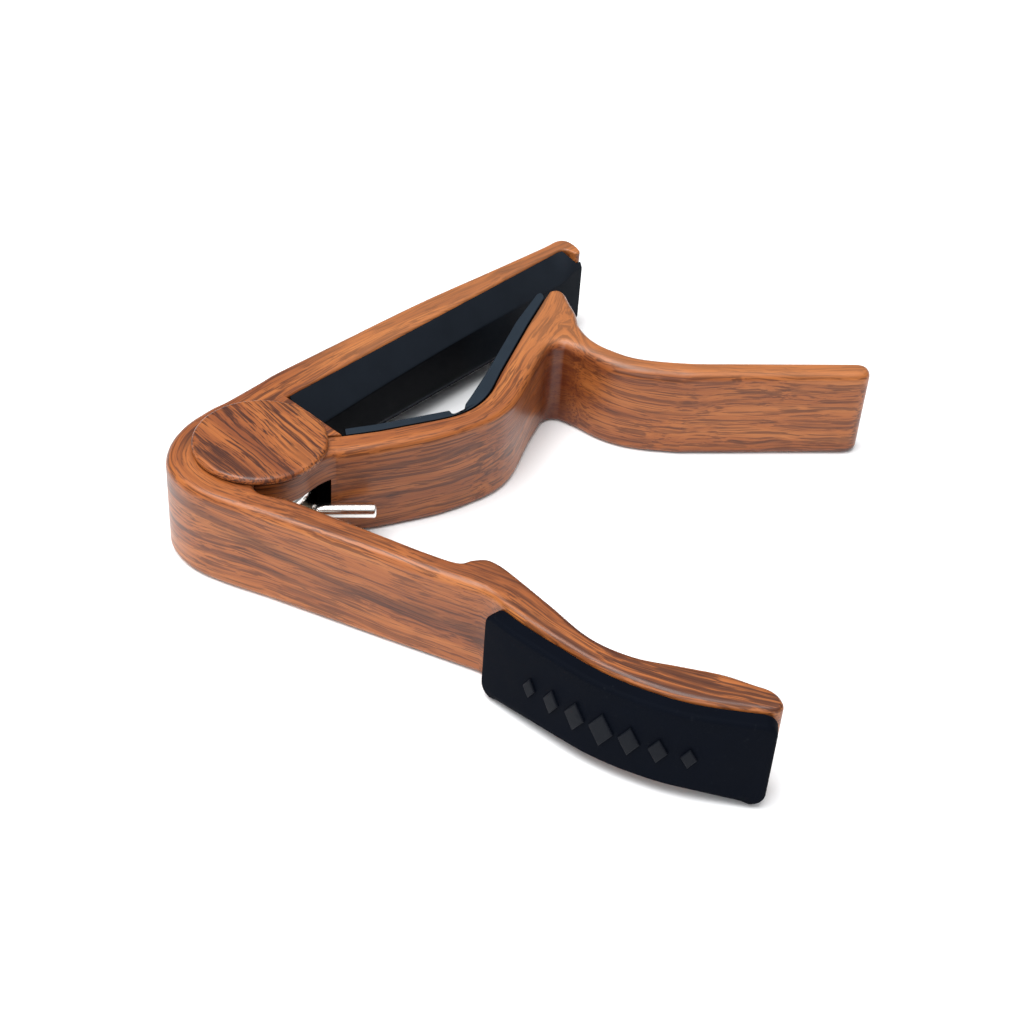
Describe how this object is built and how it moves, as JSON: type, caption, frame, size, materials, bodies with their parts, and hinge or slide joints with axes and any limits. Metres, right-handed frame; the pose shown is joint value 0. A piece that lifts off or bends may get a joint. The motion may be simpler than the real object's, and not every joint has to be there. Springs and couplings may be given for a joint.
{
  "type": "spring trigger guitar capo",
  "caption": "Spring-loaded trigger capo: a padded string bar and a padded jaw lever hinged on one pivot, squeezed open by two handles and sprung shut on a guitar neck.",
  "frame": {"origin": "on the pivot axis, in the plane of the side the capo lies on", "axes": "+Z along the pivot axis, away from the side it lies on; the squeeze handles point along +X and the string bar along +X and +Y"},
  "size_m": [0.1067, 0.1164, 0.0171],
  "materials": {
    "woodgrain_casting": "printed woodgrain film under satin clear coat on a light alloy casting",
    "rubber": "matte silicone rubber",
    "nickel_wire": "bright nickel plated spring wire",
    "steel_pin": "ground steel",
    "nylon": "natural nylon"
  },
  "bodies": {
    "body": {"main_body": "woodgrain_casting", "string_pad": "rubber", "handle_grip": "rubber", "torsion_spring": "nickel_wire"},
    "jaw": {"jaw_lever": "woodgrain_casting", "neck_pad": "rubber", "pivot_cap_top": "woodgrain_casting", "pivot_cap_bottom": "woodgrain_casting", "pivot_pin": "steel_pin", "spring_sleeve": "nylon", "thrust_washer_top": "nylon", "thrust_washer_bottom": "nylon"}
  },
  "joints": [
    {"name": "jaw_pivot", "type": "hinge", "parent": "body", "child": "jaw", "pos_m": [0, 0, 0], "axis": [0, 0, -1], "range_deg": [0, 40], "stiffness_Nm_per_rad": 1.2, "springref_deg": -34.38, "deforming": ["torsion_spring"]}
  ]
}
